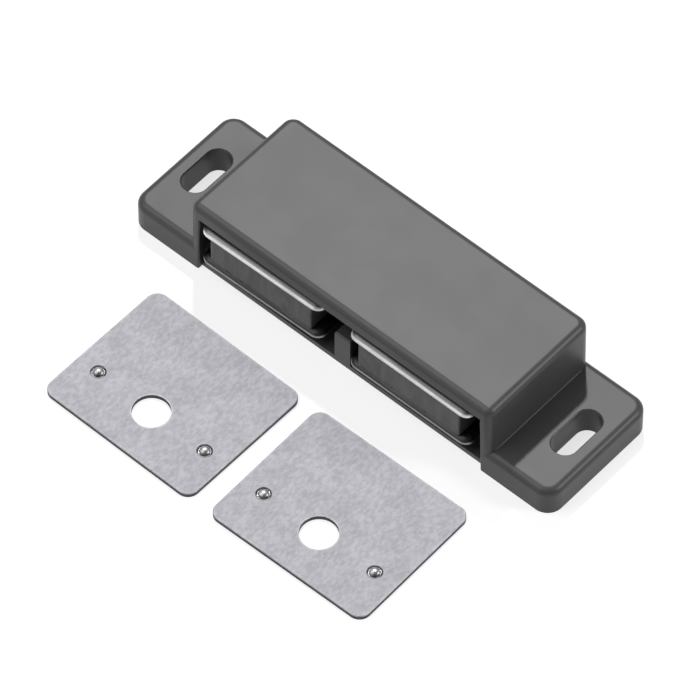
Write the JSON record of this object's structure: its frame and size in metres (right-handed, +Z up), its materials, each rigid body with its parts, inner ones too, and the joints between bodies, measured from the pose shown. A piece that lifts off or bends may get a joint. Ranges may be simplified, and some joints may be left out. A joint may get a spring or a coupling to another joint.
{
  "type": "magnetic catch",
  "caption": "Surface-mounted magnetic cabinet catch: a moulded case with slotted screw lugs, loose magnet packs between steel poles in its mouth, and flat steel strike plates in front.",
  "frame": {"origin": "centre of the case's flat mounting face, the face that is screwed down", "axes": "+X along the case from one screw lug to the other, -Y out of the mouth towards the strike plates, +Z up from the mounting face through the cover"},
  "size_m": [0.0862, 0.0578, 0.0156],
  "materials": {
    "case_plastic": "moulded, satin, fine spark texture",
    "pole_steel": "barrel plated, satin",
    "ferrite": "sintered, ground, matte",
    "strike_steel": "zinc coated, mottled satin"
  },
  "bodies": {
    "case": {"housing": "case_plastic", "base_plate": "case_plastic", "left_strike": "strike_steel", "right_strike": "strike_steel"},
    "left_pack": {"left_lower_pole": "pole_steel", "left_magnet": "ferrite", "left_upper_pole": "pole_steel"},
    "right_pack": {"right_lower_pole": "pole_steel", "right_magnet": "ferrite", "right_upper_pole": "pole_steel"}
  },
  "joints": [
    {"name": "left_pack_float", "type": "slide", "parent": "case", "child": "left_pack", "axis": [0, -1, 0], "range_m": [-0.0005, 0.0007]},
    {"name": "right_pack_float", "type": "slide", "parent": "case", "child": "right_pack", "axis": [0, -1, 0], "range_m": [-0.0005, 0.0007]}
  ]
}
